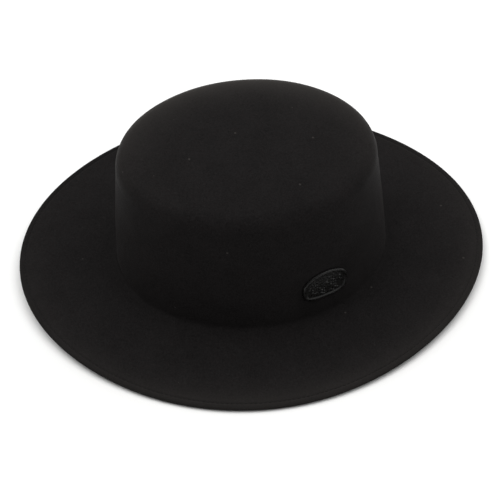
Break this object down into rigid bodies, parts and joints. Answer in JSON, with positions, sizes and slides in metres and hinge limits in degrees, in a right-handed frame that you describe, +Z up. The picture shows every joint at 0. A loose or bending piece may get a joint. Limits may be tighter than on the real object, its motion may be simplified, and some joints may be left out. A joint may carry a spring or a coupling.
{
  "type": "flat-crowned felt fedora hat",
  "caption": "Black wool felt hat with a flat-topped oval crown, a medium-wide nearly flat brim with a turned-under hem, and a small oval badge on the crown's left side.",
  "frame": {"origin": "on the surface that the hat lies on, under the middle of its outline", "axes": "+Z up through the crown, -Y to the hat's front, +X to the wearer's left"},
  "size_m": [0.3026, 0.353, 0.117],
  "materials": {
    "felt": "black blocked wool felt, matte, with a fine short nap",
    "badge_leather": "black embossed leather, satin"
  },
  "bodies": {
    "root": {"felt_body": "felt", "badge": "badge_leather"}
  },
  "joints": []
}
